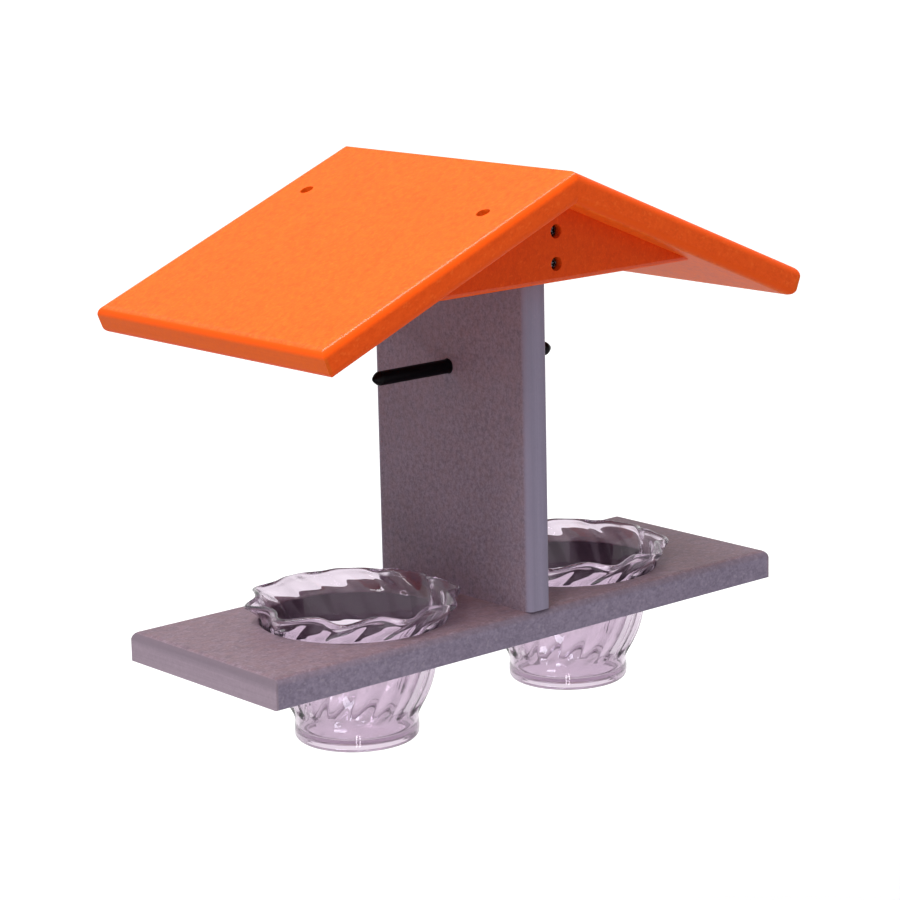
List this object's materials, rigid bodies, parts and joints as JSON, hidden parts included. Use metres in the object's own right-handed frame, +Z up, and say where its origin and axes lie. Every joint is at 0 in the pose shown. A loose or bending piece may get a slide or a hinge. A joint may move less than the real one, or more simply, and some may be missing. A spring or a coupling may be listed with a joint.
{
  "type": "oriole feeder",
  "caption": "Roofed bird feeder: a flat tray holds clear lobed cups on both sides of an upright board with a fruit peg through it, under a pitched roof on gable plates.",
  "frame": {"origin": "middle of the tray's underside, between the cups, where the feeder is carried", "axes": "+X along the tray, -Y the front gable, +Z up"},
  "size_m": [0.2922, 0.1552, 0.2471],
  "materials": {
    "orange_board": "satin, finely mottled",
    "grey_board": "satin, finely mottled",
    "clear_cup": "clear, moulded, glossy",
    "black_peg": "satin black",
    "screw_steel": "plain steel"
  },
  "bodies": {
    "feeder_frame": {"base_tray": "grey_board", "post_board": "grey_board", "roof_panel_left": "orange_board", "roof_panel_right": "orange_board", "gable_front": "orange_board", "gable_rear": "orange_board", "fruit_peg": "black_peg", "roof_screw_left_front": "screw_steel", "roof_screw_left_rear": "screw_steel", "roof_screw_right_front": "screw_steel", "roof_screw_right_rear": "screw_steel", "gable_screw_front_upper": "screw_steel", "gable_screw_front_lower": "screw_steel", "gable_screw_rear_upper": "screw_steel", "gable_screw_rear_lower": "screw_steel", "tray_screw_front_outer": "screw_steel", "tray_screw_front_inner": "screw_steel", "tray_screw_rear_inner": "screw_steel", "tray_screw_rear_outer": "screw_steel"},
    "left_cup": {"cup_left": "clear_cup"},
    "right_cup": {"cup_right": "clear_cup"}
  },
  "joints": [
    {"name": "cup_left_lift", "type": "slide", "parent": "feeder_frame", "child": "left_cup", "axis": [0, 0, 1], "range_m": [0, 0.08]},
    {"name": "cup_right_lift", "type": "slide", "parent": "feeder_frame", "child": "right_cup", "axis": [0, 0, 1], "range_m": [0, 0.08]}
  ]
}
